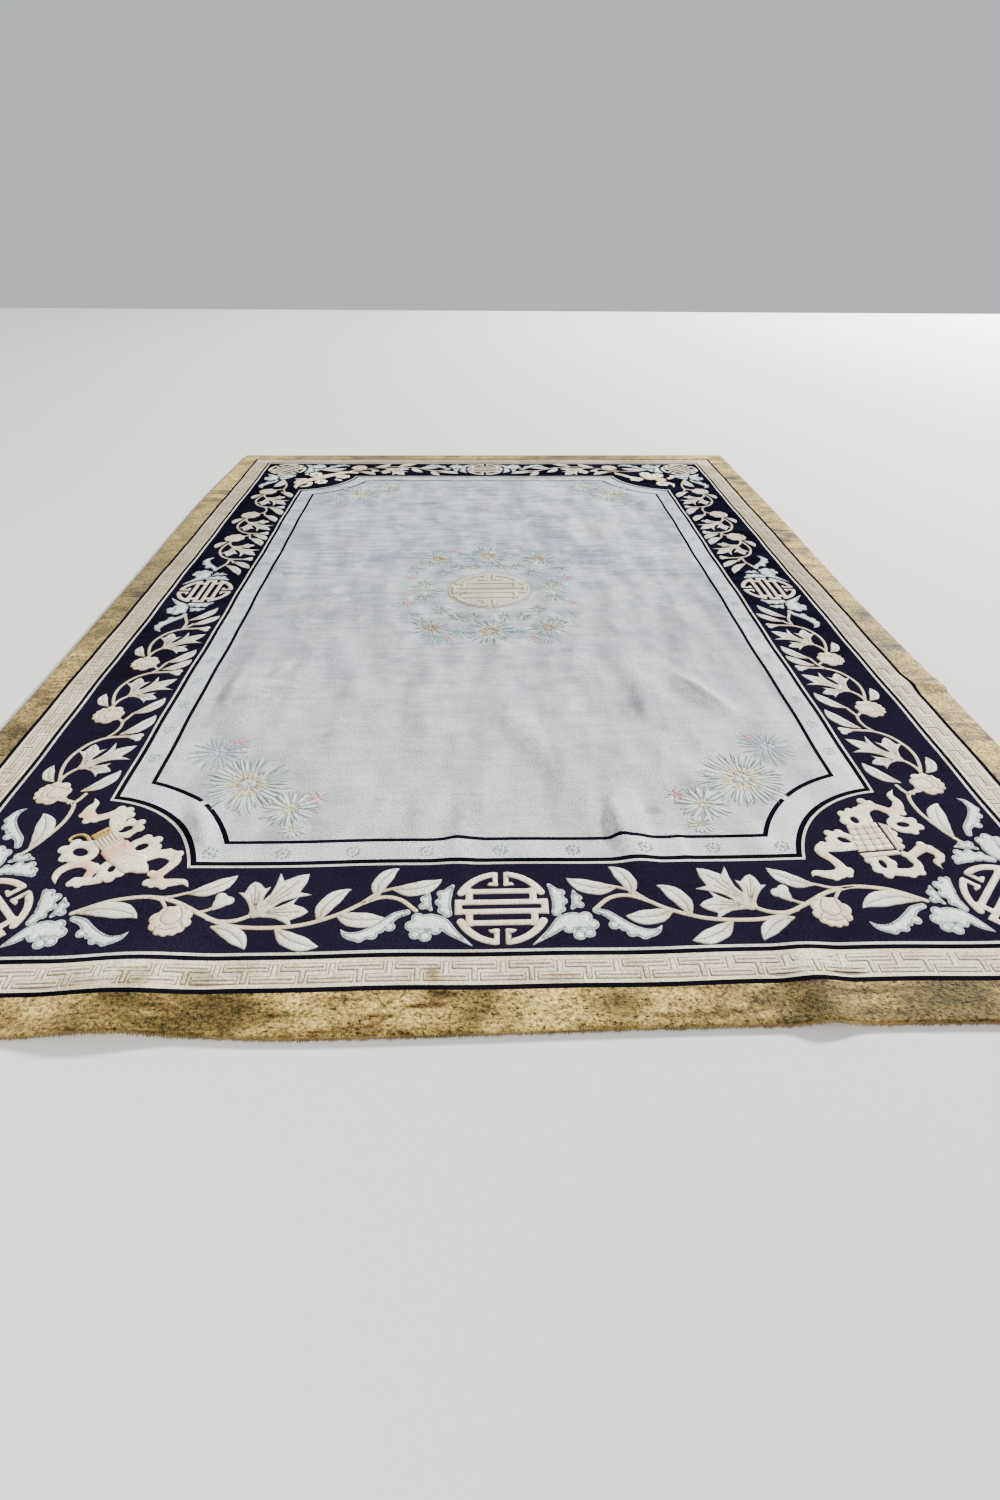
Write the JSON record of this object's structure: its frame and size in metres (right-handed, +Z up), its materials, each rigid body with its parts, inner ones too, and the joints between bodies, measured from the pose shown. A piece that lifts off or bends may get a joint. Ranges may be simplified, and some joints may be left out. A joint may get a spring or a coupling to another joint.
{
  "type": "silk rug",
  "caption": "Hand-knotted silk rug, pale grey-blue field with notched corners, navy vine border and gold outer band, lying flat with soft ridges, 2.74 x 3.71 m",
  "frame": {"origin": "on the floor under the middle of the rug", "axes": "+X to the right of someone at the near edge, +Y along the rug's length away from them, +Z up out of the pile"},
  "size_m": [2.76, 3.7199, 0.025],
  "materials": {
    "silk_pile": "satin"
  },
  "bodies": {
    "root": {"rug": "silk_pile"}
  },
  "joints": []
}
